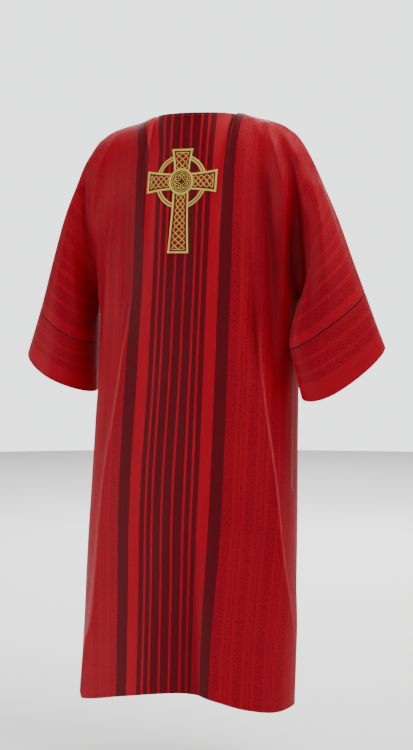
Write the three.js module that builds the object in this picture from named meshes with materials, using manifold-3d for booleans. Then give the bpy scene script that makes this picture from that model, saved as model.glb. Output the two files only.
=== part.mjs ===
// A dalmatic: a deacon's wide-sleeved tunic of striped red cloth, standing in the form it takes when worn.
// Millimetres, +Z up. The wearer faces -Y and their left is +X. The origin is midway between the high points
// of the shoulders. Every panel is a thin closed wall over one shared outer surface, worked out from the
// tables below: rings round the body, a loop at each end of a sleeve, and a row for each fold.

import * as THREE from 'three';
import { mergeVertices } from 'three/addons/utils/BufferGeometryUtils.js';
import Module from 'manifold-3d';

const wasm = await Module();
wasm.setup();

const WALL = 1.5; // cloth with its turned edges
const SEAM = 0.3; // gap between two pieces at a seam
const SIDE_COLUMNS = 12; // from the centre line to the side seam
const NECK_COLUMNS = 4; // of those, the ones that start at the neck edge
const YOKE_ROWS = 8; // from the shoulder to the underarm
const SKIRT_ROWS = 15; // from the underarm to the hem
const SLEEVE_COLUMNS = 6; // from the armhole line to the band
const BAND_COLUMNS = 3;
const BACK = 1;
const FRONT = -1;

const ARMHOLE_HOLLOW = 200; // how strongly the armhole line draws in to the underarm
const HOLLOW_FROM = 0.7; // share of the panel where that begins
const SLOPE_STEP = 30; // how far below the underarm the skirt's slope is read

const NECK = { halfWidth: 100, backDepth: 78, frontDepth: 85, frontDrop: 75, frontCurve: 1.5 };
const UNDERARM_Z = -400;
const HEM_Z = -1280; // level that the ring table counts as the hem
const SLIT_TOP_Z = -820;
const SLIT_SHARE = { back: 0.02, front: 0.13 }; // of each panel's half width, what a slit opens by at the hem
const SLIT_CURVE = 1.3; // above 1, a slit opens slowly at first

const table = (names, rows) =>
  rows.map((row) => Object.fromEntries(names.split(' ').map((name, i) => [name, row[i]])));

// The body below the underarms: half width, and how far forward or back its back, sides and front lie.
const RINGS = table('z half back side front square', [
  [-400, 242, 131, 12, -122, 2.35],
  [-450, 234, 137, 20, -121, 2.35],
  [-520, 234, 144, 28, -121, 2.35],
  [-650, 235, 158, 36, -116, 2.3],
  [-800, 238, 175, 50, -104, 2.3],
  [-950, 242, 192, 64, -90, 2.3],
  [-1120, 245, 207, 75, -74, 2.3],
  [-1300, 247, 218, 82, -60, 2.3],
]);

// The top edge of both panels, from the high point of the shoulder to where the sleeve begins.
const SHOULDER = table('share x y z', [
  [0, 100, 0, 0],
  [0.32, 140, 12, -10],
  [0.6, 176, 21, -19],
  [0.82, 207, 28, -31],
  [1, 234, 32, -49],
]);

// How each panel leaves its top edge, as the pull of its yoke columns there. Column 0 is the centre line.
const BACK_FALL = table('share x y z', [
  [0, 0, 45, -400],
  [0.17, 0, 152, -310],
  [0.25, 0, 200, -110],
  [0.33, 0, 316, 100],
  [0.6, 5, 265, -60],
  [1, 14, 215, -250],
]);
const FRONT_FALL = table('share x y z', [
  [0, 0, -75, -330],
  [0.18, 0, -110, -300],
  [0.33, 0, -250, -140],
  [0.6, 5, -250, -190],
  [1, 10, -170, -280],
]);

// The level of the hem across each panel, from the wearer's right to the wearer's left.
const HEM = {
  [BACK]: table('share z', [
    [-1, -1286],
    [-0.8, -1293],
    [-0.6, -1284],
    [-0.38, -1267],
    [-0.15, -1255],
    [0.08, -1261],
    [0.35, -1276],
    [0.75, -1301],
    [1, -1296],
  ]),
  [FRONT]: table('share z', [
    [-1, -1226],
    [0, -1240],
    [1, -1236],
  ]),
};

// Each sleeve: the loop where its band is sewn on and the loop of its cuff. Over is the top of the arm, under
// the inner side, depth half of what the loop measures front to back, drop how far its back hangs lower.
const SLEEVES = {
  right: {
    side: -1,
    seam: { over: [385, 18, -402], under: [238, 70, -506], depth: 66, drop: 30 },
    cuff: { over: [430, 10, -519], under: [260, 56, -612], depth: 76, drop: 46 },
  },
  left: {
    side: 1,
    seam: { over: [379, 20, -415], under: [250, 22, -505], depth: 84, drop: 14 },
    cuff: { over: [427, 12, -527], under: [256, 14, -621], depth: 86, drop: 12 },
  },
};
const LOOP_SQUARE = 2.3;

// The way a sleeve leaves the armhole line, from over the shoulder to under the arm.
const SLEEVE_LEAVES = table('share x y z pull', [
  [0, 0.74, 0, -0.67, 0.55],
  [0.3, 0.9, -0.12, -0.42, 0.6],
  [0.65, 0.8, -0.1, -0.59, 0.8],
  [1, 0.3, 0, -0.95, 0.9],
]);

// Folds, each a path of points over one panel with its height there. A negative height is a trough.
const fold = (face, width, sharp, ...path) => ({
  face,
  width,
  sharp,
  path: path.map(([x, z, height]) => ({ x, z, height })),
});
const FOLDS = [
  // back: where the cloth breaks over each shoulder blade towards the arm
  fold(
    BACK, 16, 4, [184, -30, 2], [200, -70, 7], [222, -120, 9],
    [236, -190, 7], [240, -300, 4], [241, -390, 0],
  ),
  fold(
    BACK, 16, 4, [-169, -28, 2], [-195, -75, 7], [-218, -135, 9],
    [-234, -200, 7], [-238, -300, 4], [-240, -390, 0],
  ),
  fold(BACK, 14, 5, [262, -110, 0], [264, -160, -12], [262, -230, -9], [262, -330, 0]),
  fold(BACK, 14, 5, [-252, -100, 0], [-256, -160, -13], [-254, -230, -9], [-256, -330, 0]),
  // back: the break down the wearer's left, and the one down their right
  fold(
    BACK, 30, 6, [121, -420, 0], [130, -550, 7], [144, -665, 9], [164, -820, 9],
    [176, -1000, 9], [189, -1130, 10], [212, -1290, 10],
  ),
  fold(
    BACK, 26, 6, [-182, -470, 0], [-196, -651, 6], [-206, -760, 8],
    [-222, -879, 9], [-236, -1010, 9], [-247, -1290, 9],
  ),
  // back: soft troughs below the arms and the hollow at the hem
  fold(BACK, 24, 12, [-178, -110, 0], [-190, -300, -4], [-204, -480, -6], [-212, -640, 0]),
  fold(BACK, 26, 12, [186, -240, 0], [188, -420, -5], [200, -560, -5], [214, -640, 0]),
  fold(BACK, 34, 16, [-64, -900, 0], [-68, -1100, -4], [-74, -1300, -7]),
  // front: the same cloth hangs in softer folds from the chest
  fold(FRONT, 28, 8, [128, -360, 0], [136, -560, 6], [150, -800, 9], [166, -1260, 11]),
  fold(FRONT, 28, 8, [-120, -380, 0], [-132, -600, 6], [-146, -860, 9], [-158, -1260, 10]),
  fold(FRONT, 34, 12, [58, -520, 0], [62, -800, -6], [70, -1260, -10]),
  fold(FRONT, 34, 12, [-44, -560, 0], [-52, -820, -6], [-60, -1260, -9]),
  fold(FRONT, 16, 4, [186, -50, 2], [208, -120, 7], [226, -220, 6], [236, -380, 0]),
  fold(FRONT, 16, 4, [-186, -50, 2], [-206, -120, 7], [-226, -220, 6], [-236, -380, 0]),
];

// The cross, flat, before it is laid on the back panel.
const CROSS = {
  x: 6, // of its centre
  z: -152,
  up: 72,
  down: 157,
  side: 82,
  tipHalf: 25, // half width of an arm at its end
  rootHalf: 18.5, // and where the arms meet
  ringOut: 60,
  ringIn: 50,
  flare: 1.5, // above 1, an arm widens late
  ringSides: 40,
  roundel: 29,
  roundelIn: 10, // the arms fill it inside this
  roundelSides: 24,
  clear: 0.8, // above the panel
  thick: 1.2,
  step: 13, // longest run along an arm between two points
  across: 3, // runs across an arm
};

// ---------- reading a table ----------

// The value of one column at a place along the table, on a smooth curve through its rows.
function along(rows, by, column, at) {
  const sign = rows[0][by] < rows[rows.length - 1][by] ? 1 : -1;
  let i = 0;
  while (i < rows.length - 2 && sign * (at - rows[i + 1][by]) > 0) i += 1;
  const [a, b] = [rows[i], rows[i + 1]];
  const before = rows[i - 1] ?? a;
  const after = rows[i + 2] ?? b;
  const span = b[by] - a[by];
  const t = THREE.MathUtils.clamp((at - a[by]) / span, 0, 1);
  const slopeA = ((b[column] - before[column]) / (b[by] - before[by])) * span;
  const slopeB = ((after[column] - a[column]) / (after[by] - a[by])) * span;
  return hermite(a[column], slopeA, b[column], slopeB, t);
}

function hermite(from, leaving, to, arriving, t) {
  const t2 = t * t;
  const t3 = t2 * t;
  return (
    from * (2 * t3 - 3 * t2 + 1) + leaving * (t3 - 2 * t2 + t) + to * (3 * t2 - 2 * t3) + arriving * (t3 - t2)
  );
}

const pointAlong = (rows, share) =>
  new THREE.Vector3(...['x', 'y', 'z'].map((axis) => along(rows, 'share', axis, share)));

const hermitePoint = (from, leaving, to, arriving, t) =>
  new THREE.Vector3(...['x', 'y', 'z'].map((k) => hermite(from[k], leaving[k], to[k], arriving[k], t)));

// ---------- the outer surface ----------

// A point of the body's ring at a level, a share of the way along the cloth from the centre line to the side.
const RING_STEPS = 48;
function ringPoint(share, z, face) {
  const at = (column) => along(RINGS, 'z', column, z);
  const [half, side, square] = [at('half'), at('side'), at('square')];
  const deep = (face === BACK ? at('back') : at('front')) - side;
  const point = (step) => {
    const angle = ((step / RING_STEPS) * Math.PI) / 2;
    return [half * Math.sin(angle) ** (2 / square), side + deep * Math.cos(angle) ** (2 / square)];
  };
  const lengths = [0];
  for (let step = 1; step <= RING_STEPS; step += 1) {
    const [[x0, y0], [x1, y1]] = [point(step - 1), point(step)];
    lengths.push(lengths[step - 1] + Math.hypot(x1 - x0, y1 - y0));
  }
  const wanted = Math.abs(share) * lengths[RING_STEPS];
  let step = 1;
  while (step < RING_STEPS && lengths[step] < wanted) step += 1;
  const [a, b] = [point(step - 1), point(step)];
  const t = (wanted - lengths[step - 1]) / (lengths[step] - lengths[step - 1]);
  return new THREE.Vector3(Math.sign(share) * (a[0] + (b[0] - a[0]) * t), a[1] + (b[1] - a[1]) * t, z);
}

const NECK_SHARE = NECK_COLUMNS / SIDE_COLUMNS;

// The top edge of a panel: the neck edge, then the shoulder line out to the armhole line.
function topPoint(share, face) {
  const out = Math.abs(share);
  const side = Math.sign(share);
  if (out > NECK_SHARE) {
    const point = pointAlong(SHOULDER, (out - NECK_SHARE) / (1 - NECK_SHARE));
    point.x *= side;
    return point;
  }
  const angle = ((out / NECK_SHARE) * Math.PI) / 2;
  const fore = Math.cos(angle);
  return new THREE.Vector3(
    side * NECK.halfWidth * Math.sin(angle),
    (face === BACK ? NECK.backDepth : -NECK.frontDepth) * fore,
    face === BACK ? 0 : -NECK.frontDrop * fore ** NECK.frontCurve,
  );
}

// The yoke, from the top edge (down = 0) to the level of the underarm (down = 1).
function yokePoint(share, down, face) {
  const top = topPoint(share, face);
  const bottom = ringPoint(share, UNDERARM_Z, face);
  const leaving = pointAlong(face === BACK ? BACK_FALL : FRONT_FALL, Math.abs(share));
  leaving.x *= Math.sign(share);
  const height = top.z - UNDERARM_Z;
  const below = ringPoint(share, UNDERARM_Z - SLOPE_STEP, face);
  const arriving = below.sub(bottom).multiplyScalar(height / SLOPE_STEP);
  arriving.x = 0;
  const nearSide = Math.max(0, (Math.abs(share) - HOLLOW_FROM) / (1 - HOLLOW_FROM));
  arriving.y -= face * ARMHOLE_HOLLOW * nearSide ** 2;
  return hermitePoint(top, leaving, bottom, arriving, down);
}

// The skirt, from the underarm to the hem. Below the top of the slits each panel stops short of the side.
function skirtPoint(share, down, face) {
  const hem = along(HEM[face], 'share', 'z', share);
  const level = UNDERARM_Z + (HEM_Z - UNDERARM_Z) * down;
  const opened = Math.max(0, (SLIT_TOP_Z - level) / (SLIT_TOP_Z - HEM_Z));
  const short = face === BACK ? SLIT_SHARE.back : SLIT_SHARE.front;
  const point = ringPoint(share * (1 - short * opened ** SLIT_CURVE), level, face);
  point.z = level + (hem - HEM_Z) * opened;
  return point;
}

// A loop of the sleeve: turn runs from 0 over the arm, by the back or the front, to 1 under it.
function loopPoint(loop, turn, face, side) {
  const [over, under] = [loop.over, loop.under].map((at) => new THREE.Vector3(side * at[0], at[1], at[2]));
  const angle = turn * Math.PI;
  const round = (value) => Math.sign(value) * Math.abs(value) ** (2 / LOOP_SQUARE);
  const middle = over.clone().add(under).multiplyScalar(0.5);
  const across = over.sub(under).multiplyScalar(0.5);
  const deep = new THREE.Vector3(0, loop.depth, -loop.drop).multiplyScalar(face);
  return middle.addScaledVector(across, round(Math.cos(angle))).addScaledVector(deep, round(Math.sin(angle)));
}

// The upper sleeve, from the armhole line (out = 0) to its band (out = 1).
function sleevePoint(sleeve, turn, out, face) {
  const from = yokePoint(sleeve.side, turn, face);
  const to = loopPoint(sleeve.seam, turn, face, sleeve.side);
  const run = from.distanceTo(to);
  const leaving = pointAlong(SLEEVE_LEAVES, turn);
  leaving.x *= sleeve.side;
  leaving.y *= face;
  leaving.normalize().multiplyScalar(run * along(SLEEVE_LEAVES, 'share', 'pull', turn));
  const arriving = loopPoint(sleeve.cuff, turn, face, sleeve.side).sub(to).normalize().multiplyScalar(run);
  return hermitePoint(from, leaving, to, arriving, out);
}

function bandPoint(sleeve, turn, out, face) {
  const from = loopPoint(sleeve.seam, turn, face, sleeve.side);
  return from.lerp(loopPoint(sleeve.cuff, turn, face, sleeve.side), out);
}

// How far the folds of a panel lift a point of it.
function foldHeight(point, face) {
  let height = 0;
  for (const { face: on, width, sharp, path } of FOLDS) {
    if (on !== face) continue;
    let nearest = Infinity;
    let here = 0;
    for (let i = 1; i < path.length; i += 1) {
      const [a, b] = [path[i - 1], path[i]];
      const [dx, dz] = [b.x - a.x, b.z - a.z];
      const share = ((point.x - a.x) * dx + (point.z - a.z) * dz) / (dx * dx + dz * dz);
      const t = THREE.MathUtils.clamp(share, 0, 1);
      const away = Math.hypot(point.x - a.x - dx * t, point.z - a.z - dz * t);
      if (away < nearest) {
        nearest = away;
        here = a.height + (b.height - a.height) * t;
      }
    }
    height += here * Math.exp(-(Math.hypot(nearest, sharp) - sharp) / width);
  }
  return height;
}

// ---------- grids of points, and the pieces made of them ----------

const keyOf = (p) => `${Math.round(p.x * 1e3)},${Math.round(p.y * 1e3)},${Math.round(p.z * 1e3)}`;

// A grid holds its rows of points and whether its faces turn over, and belongs to the piece it is cut in.
const pieces = new Map();
function addGrid(piece, face, turned, rows) {
  if (!pieces.has(piece)) pieces.set(piece, []);
  pieces.get(piece).push({ face, turned, rows });
}

const steps = (count, make) => Array.from({ length: count + 1 }, (_, i) => make(i / count));

for (const [name, face] of [['back', BACK], ['front', FRONT]]) {
  const columns = 2 * SIDE_COLUMNS;
  const acrossPanel = (make) => steps(columns, (t) => make(2 * t - 1));
  const yoke = steps(YOKE_ROWS, (down) => acrossPanel((share) => yokePoint(share, down, face)));
  const skirt = steps(SKIRT_ROWS, (down) => acrossPanel((share) => skirtPoint(share, down, face)));
  addGrid(name, face, face === FRONT, [...yoke, ...skirt.slice(1)]);
  for (const sleeve of Object.values(SLEEVES)) {
    const rows = steps(YOKE_ROWS, (turn) =>
      steps(SLEEVE_COLUMNS, (out) => sleevePoint(sleeve, turn, out, face)),
    );
    addGrid(name, face, (face === FRONT) !== (sleeve.side < 0), rows);
  }
}
for (const [which, sleeve] of Object.entries(SLEEVES)) {
  for (const face of [BACK, FRONT]) {
    const rows = steps(YOKE_ROWS, (turn) => steps(BAND_COLUMNS, (out) => bandPoint(sleeve, turn, out, face)));
    addGrid(`sleeve_band_${which}`, face, (face === FRONT) !== (sleeve.side < 0), rows);
  }
}

// Shared corners: each place on the garment once, with its normal taken over every piece that meets there.
const corners = new Map();
const quads = [];
for (const [piece, grids] of pieces) {
  for (const { face, turned, rows } of grids) {
    const keys = rows.map((row) =>
      row.map((point) => {
        const key = keyOf(point);
        if (!corners.has(key)) corners.set(key, { at: point, faces: new Set(), pieces: new Set() });
        corners.get(key).faces.add(face);
        corners.get(key).pieces.add(piece);
        return key;
      }),
    );
    for (let i = 1; i < keys.length; i += 1) {
      for (let j = 1; j < keys[i].length; j += 1) {
        const quad = [keys[i - 1][j - 1], keys[i - 1][j], keys[i][j], keys[i][j - 1]];
        quads.push({ piece, keys: turned ? quad.reverse() : quad });
      }
    }
  }
}

function findNormals(place) {
  for (const corner of corners.values()) corner.normal = new THREE.Vector3();
  for (const { keys } of quads) {
    const [a, b, c, d] = keys.map((key) => corners.get(key)[place]);
    const normal = c.clone().sub(a).cross(d.clone().sub(b));
    for (const key of keys) corners.get(key).normal.add(normal);
  }
  for (const corner of corners.values()) corner.normal.normalize();
}

findNormals('at');
for (const corner of corners.values()) {
  const lifts = [...corner.faces].map((face) => foldHeight(corner.at, face));
  const lift = lifts.length > 1 ? 0 : lifts[0];
  corner.folded = corner.at.clone().addScaledVector(corner.normal, lift);
}
findNormals('folded');

// Each quad is split along its shorter diagonal, which runs between its first and third corner.
for (const quad of quads) {
  const [a, b, c, d] = quad.keys.map((key) => corners.get(key).folded);
  if (b.distanceTo(d) < a.distanceTo(c)) quad.keys.push(quad.keys.shift());
}

// One piece: its outer and inner walls, and the rim along every edge where it ends.
function clothPiece(piece) {
  const own = quads.filter((quad) => quad.piece === piece);
  const neighbours = new Map();
  const edges = new Map();
  for (const { keys } of own) {
    keys.forEach((key, i) => {
      const next = keys[(i + 1) % 4];
      if (!neighbours.has(key)) neighbours.set(key, new Set());
      for (const other of keys) neighbours.get(key).add(other);
      if (edges.has(`${next}|${key}`)) edges.delete(`${next}|${key}`);
      else edges.set(`${key}|${next}`, [key, next]);
    });
  }
  const atSeam = (key) => corners.get(key).pieces.size > 1;
  const order = [...neighbours.keys()];
  const index = new Map(order.map((key, i) => [key, i]));
  const positions = [];
  for (const wall of [0, WALL]) {
    for (const key of order) {
      const corner = corners.get(key);
      const point = corner.folded.clone().addScaledVector(corner.normal, -wall);
      if (atSeam(key)) {
        const inside = [...neighbours.get(key)].filter((other) => !atSeam(other));
        const middle = new THREE.Vector3();
        for (const other of inside) middle.addScaledVector(corners.get(other).folded, 1 / inside.length);
        point.add(middle.sub(corner.folded).normalize().multiplyScalar(SEAM / 2));
      }
      positions.push(point.x, point.y, point.z);
    }
  }
  const inner = order.length;
  const triangles = [];
  for (const { keys } of own) {
    const [a, b, c, d] = keys.map((key) => index.get(key));
    triangles.push(a, b, c, a, c, d);
    triangles.push(inner + a, inner + c, inner + b, inner + a, inner + d, inner + c);
  }
  for (const [from, to] of edges.values()) {
    const [a, b] = [index.get(from), index.get(to)];
    triangles.push(a, inner + b, b, a, inner + a, inner + b);
  }
  return solid(positions, triangles);
}

function solid(positions, triangles) {
  const geometry = new THREE.BufferGeometry();
  geometry.setAttribute('position', new THREE.Float32BufferAttribute(positions, 3));
  geometry.setIndex(triangles);
  return geometry;
}

// ---------- the cross ----------

// The part of the back panel that carries the cross.
const CARRIER = { half: 140, lowest: -400 };
const backFacets = quads
  .filter((quad) => quad.piece === 'back')
  .map(({ keys }) => keys.map((key) => corners.get(key)))
  .filter((quad) => quad.every(({ at }) => Math.abs(at.x) < CARRIER.half && at.z > CARRIER.lowest));

// The point and normal of that part's flat facets at a place seen from behind.
function onBack(x, z) {
  let best = null;
  for (const [a, b, c, d] of backFacets) {
    for (const three of [[a, b, c], [a, c, d]]) {
      const flat = three.map(({ folded }) => new THREE.Vector3(folded.x, folded.z, 0));
      const share = new THREE.Vector3();
      if (!THREE.Triangle.getBarycoord(new THREE.Vector3(x, z, 0), ...flat, share)) continue;
      const least = Math.min(share.x, share.y, share.z);
      if (best === null || least > best.least) best = { least, three, share };
    }
  }
  const mix = (what) => {
    const mixed = new THREE.Vector3();
    best.three.forEach((corner, i) => mixed.addScaledVector(corner[what], best.share.getComponent(i)));
    return mixed;
  };
  return { at: mix('folded'), normal: mix('normal').normalize() };
}

// A flat prism from a strip of cross-sections, each a run of points from its left edge to its right.
function stripPrism(sections, closed) {
  const across = sections[0].length;
  const positions = sections.flatMap((points) => points.flatMap(([x, z]) => [x, z, 0, x, z, 1]));
  const at = (section, point, level) => 2 * (across * (section % sections.length) + point) + level;
  const triangles = [];
  const join = (a, b, c, d) => triangles.push(a, b, c, a, c, d);
  const last = closed ? sections.length : sections.length - 1;
  for (let i = 0; i < last; i += 1) {
    for (let j = 1; j < across; j += 1) {
      join(at(i, j - 1, 0), at(i, j, 0), at(i + 1, j, 0), at(i + 1, j - 1, 0));
      join(at(i, j - 1, 1), at(i + 1, j - 1, 1), at(i + 1, j, 1), at(i, j, 1));
    }
    join(at(i, 0, 0), at(i + 1, 0, 0), at(i + 1, 0, 1), at(i, 0, 1));
    join(at(i, across - 1, 0), at(i, across - 1, 1), at(i + 1, across - 1, 1), at(i + 1, across - 1, 0));
  }
  for (let j = 1; !closed && j < across; j += 1) {
    join(at(0, j - 1, 0), at(0, j - 1, 1), at(0, j, 1), at(0, j, 0));
    join(at(last, j - 1, 0), at(last, j, 0), at(last, j, 1), at(last, j - 1, 1));
  }
  return asSolid(solid(positions, triangles));
}

function asSolid(geometry) {
  const merged = mergeVertices(geometry);
  return new wasm.Manifold(
    new wasm.Mesh({
      numProp: 3,
      vertProperties: Float32Array.from(merged.attributes.position.array),
      triVerts: Uint32Array.from(merged.index.array),
    }),
  );
}

// One arm, from the middle of the cross out to its flared end.
function arm(angle, reach) {
  const count = Math.ceil(reach / CROSS.step);
  const [dx, dz] = [Math.cos(angle), Math.sin(angle)];
  const sections = steps(count, (t) => {
    const flare = Math.max(0, (t * reach - CROSS.roundel) / (reach - CROSS.roundel));
    const half = CROSS.rootHalf + (CROSS.tipHalf - CROSS.rootHalf) * flare ** CROSS.flare;
    return steps(CROSS.across, (over) => {
      const off = half * (1 - 2 * over);
      return [dx * reach * t + dz * off, dz * reach * t - dx * off];
    });
  });
  return stripPrism(sections, false);
}

function ring(inside, outside, count) {
  const sections = Array.from({ length: count }, (_, i) => {
    const angle = (2 * Math.PI * i) / count;
    return [outside, inside].map((radius) => [radius * Math.cos(angle), radius * Math.sin(angle)]);
  });
  return stripPrism(sections, true);
}

function crossPiece() {
  const arms = [
    [Math.PI / 2, CROSS.up],
    [-Math.PI / 2, CROSS.down],
    [0, CROSS.side],
    [Math.PI, CROSS.side],
  ].map(([angle, reach]) => arm(angle, reach));
  const circle = ring(CROSS.ringIn, CROSS.ringOut, CROSS.ringSides);
  const roundel = ring(CROSS.roundelIn, CROSS.roundel, CROSS.roundelSides);
  const flat = [...arms, circle, roundel].reduce((whole, part) => whole.add(part)).getMesh();
  const positions = [];
  for (let i = 0; i < flat.vertProperties.length; i += 3) {
    const [x, z, level] = flat.vertProperties.slice(i, i + 3);
    const { at, normal } = onBack(CROSS.x + x, CROSS.z + z);
    const point = at.addScaledVector(normal, CROSS.clear + CROSS.thick * level);
    positions.push(point.x, point.y, point.z);
  }
  // seen from behind, x runs to the left, so laying the flat shape down turns its faces over
  const triangles = [];
  for (let i = 0; i < flat.triVerts.length; i += 3) {
    const [a, b, c] = flat.triVerts.slice(i, i + 3);
    triangles.push(a, c, b);
  }
  return solid(positions, triangles);
}

// ---------- the garment ----------

const red = new THREE.MeshStandardMaterial({
  name: 'striped_cloth',
  color: 0xa01719,
  roughness: 0.75,
  metalness: 0,
});
const gold = new THREE.MeshStandardMaterial({
  name: 'gold_thread',
  color: 0xcabb72,
  roughness: 0.4,
  metalness: 0.3,
});

const dalmatic = new THREE.Group();
for (const piece of pieces.keys()) {
  const mesh = new THREE.Mesh(clothPiece(piece), red);
  mesh.name = piece;
  dalmatic.add(mesh);
}
const cross = new THREE.Mesh(crossPiece(), gold);
cross.name = 'cross';
dalmatic.add(cross);

export default dalmatic;
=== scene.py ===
"""A dalmatic: a deacon's wide-sleeved tunic of striped red cloth, in the form that it takes when worn."""

import math

import bpy
import numpy as np
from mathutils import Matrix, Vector
from mathutils.bvhtree import BVHTree


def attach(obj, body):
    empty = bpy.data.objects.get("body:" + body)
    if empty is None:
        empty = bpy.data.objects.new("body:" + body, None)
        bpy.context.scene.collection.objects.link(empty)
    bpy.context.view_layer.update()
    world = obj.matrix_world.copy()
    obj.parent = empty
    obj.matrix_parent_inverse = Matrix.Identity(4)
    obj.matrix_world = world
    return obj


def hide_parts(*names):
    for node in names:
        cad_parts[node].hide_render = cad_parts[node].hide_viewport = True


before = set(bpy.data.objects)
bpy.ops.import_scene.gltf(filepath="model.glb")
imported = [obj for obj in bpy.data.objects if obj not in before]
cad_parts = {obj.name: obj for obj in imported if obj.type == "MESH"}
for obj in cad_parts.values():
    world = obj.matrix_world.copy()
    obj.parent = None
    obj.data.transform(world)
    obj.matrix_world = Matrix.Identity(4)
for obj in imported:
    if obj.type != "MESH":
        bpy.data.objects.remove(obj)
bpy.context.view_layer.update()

# ---------- The place it is shown in ----------
# The back is seen from a little to the wearer's right, at chest height, in soft daylight from large panels.
# The floor is where a standing wearer's feet would be.

EYE = Vector((-1.3125, 3.2445, -0.40))
LOOKED_AT = Vector((-0.0115, -0.0047, -0.5806))
FLOOR_Z = -1.45
LENS = 74.4


def face_towards(thing, place, target):
    thing.location = place
    thing.rotation_euler = (target - place).to_track_quat("-Z", "Y").to_euler()
    bpy.context.scene.collection.objects.link(thing)


camera = bpy.data.objects.new("camera", bpy.data.cameras.new("camera"))
camera.data.lens = LENS
face_towards(camera, EYE, LOOKED_AT)
bpy.context.scene.camera = camera


def soft_light(name, place, width, height, watts, colour, aim=(0, 0, -0.6)):
    lamp = bpy.data.lights.new(name, "AREA")
    lamp.shape = "RECTANGLE"
    lamp.size = width
    lamp.size_y = height
    lamp.energy = watts
    lamp.color = colour
    face_towards(bpy.data.objects.new(name, lamp), Vector(place), Vector(aim))


soft_light("window", (3.0, 2.3, -0.1), 1.3, 1.8, 80, (1.0, 0.99, 1.0), (0, 0, -0.95))
soft_light("fill", (-2.0, 3.8, -0.7), 1.4, 1.4, 31, (1.0, 0.99, 1.0), (0, 0, -1.0))
soft_light("over_shoulders", (-1.3, 0.3, 1.8), 1.2, 0.9, 95, (1.0, 0.99, 1.0), (-0.15, 0, -0.1))
soft_light("front_fill", (0.6, -3.6, 0.8), 2.6, 2.4, 70, (1.0, 0.99, 1.0))
soft_light("floor_wash", (0.9, -3.2, 1.6), 4.5, 4.5, 330, (1.0, 1.0, 1.0), (1.1, -3.4, -3.0))

world = bpy.data.worlds.new("studio")
bpy.context.scene.world = world
world.use_nodes = True
backdrop = world.node_tree.nodes["Background"]
backdrop.inputs["Color"].default_value = (0.94, 0.95, 0.97, 1)
seen = world.node_tree.nodes.new("ShaderNodeLightPath")
wall_light = world.node_tree.nodes.new("ShaderNodeMapRange")
wall_light.inputs["To Min"].default_value = 0.3  # what the room gives the cloth
wall_light.inputs["To Max"].default_value = 2.6  # how bright the white wall looks
world.node_tree.links.new(seen.outputs["Is Camera Ray"], wall_light.inputs["Value"])
world.node_tree.links.new(wall_light.outputs[0], backdrop.inputs["Strength"])


def mesh_of(name, points, faces):
    mesh = bpy.data.meshes.new(name)
    mesh.from_pydata([tuple(p) for p in points], [], [tuple(f) for f in faces])
    mesh.validate()
    return mesh


def thing_of(name, mesh):
    thing = bpy.data.objects.new(name, mesh)
    bpy.context.scene.collection.objects.link(thing)
    return thing


class Finish:
    """A material, with short ways to add its nodes."""

    def __init__(self, name):
        self.material = bpy.data.materials.new(name)
        self.material.use_nodes = True
        self.nodes = self.material.node_tree.nodes
        self.links = self.material.node_tree.links
        self.shader = self.nodes["Principled BSDF"]

    def add(self, kind, values=(), **settings):
        return add_node(self.nodes, self.links, kind, values, **settings)

    def join(self, output, socket):
        self.links.new(output, self.shader.inputs[socket])

    def set(self, **values):
        """Sets the shader's own inputs, their names written with _ for a space."""
        for name, value in values.items():
            self.shader.inputs[name.replace("_", " ")].default_value = value

    def maths(self, operation, *values):
        return self.add("ShaderNodeMath", values, operation=operation).outputs[0]

    def blend(self, factor, first, second, mode="MIX"):
        values = {0: factor, 6: first, 7: second}
        return self.add("ShaderNodeMix", values, data_type="RGBA", blend_type=mode).outputs[2]

    def shaded(self, colour, value):
        """The colour made darker or lighter by a value."""
        grey = self.add("ShaderNodeCombineColor", [value, value, value]).outputs[0]
        return self.blend(1.0, colour, grey, "MULTIPLY")

    def ranged(self, value, low, high, to_low, to_high, **settings):
        """A value between low and high as one between to_low and to_high, and held there."""
        values = {"Value": value, "From Min": low, "From Max": high, "To Min": to_low, "To Max": to_high}
        return self.add("ShaderNodeMapRange", values, **settings).outputs[0]

    def noise(self, place, scale, detail, roughness=0.5):
        values = {"Vector": place, "Scale": scale, "Detail": detail, "Roughness": roughness}
        return self.add("ShaderNodeTexNoise", values).outputs["Fac"]

    def threads(self, flat, across, down, detail, roughness=0.5):
        """Noise as long or as wide as a thread: so many to the metre across the cloth and down it."""
        way = self.add("ShaderNodeVectorMath", [flat, (across, down, 1)], operation="MULTIPLY").outputs[0]
        return self.noise(way, 1.0, detail, roughness)

    def bump(self, height, strength, distance, normal=None):
        values = {"Height": height, "Normal": normal, "Strength": strength, "Distance": distance}
        return self.add("ShaderNodeBump", values).outputs[0]

    def attribute(self, name):
        return self.add("ShaderNodeAttribute", attribute_name=name).outputs["Fac"]


def add_node(nodes, links, kind, values=(), **settings):
    """A node with its settings, and its inputs set or linked by place or name."""
    node = nodes.new(kind)
    for name, value in settings.items():
        setattr(node, name, value)
    pairs = values.items() if isinstance(values, dict) else enumerate(values)
    for key, value in pairs:
        if value is None:
            continue
        if isinstance(value, bpy.types.NodeSocket):
            links.new(value, node.inputs[key])
        else:
            node.inputs[key].default_value = value
    return node


def linear(red, green, blue):
    """A colour as it looks, 0 to 255, as the shader wants it."""
    shades = []
    for value in (red / 255, green / 255, blue / 255):
        shades.append(value / 12.92 if value <= 0.04 else ((value + 0.055) / 1.055) ** 2.4)
    return (*shades, 1)


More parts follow.
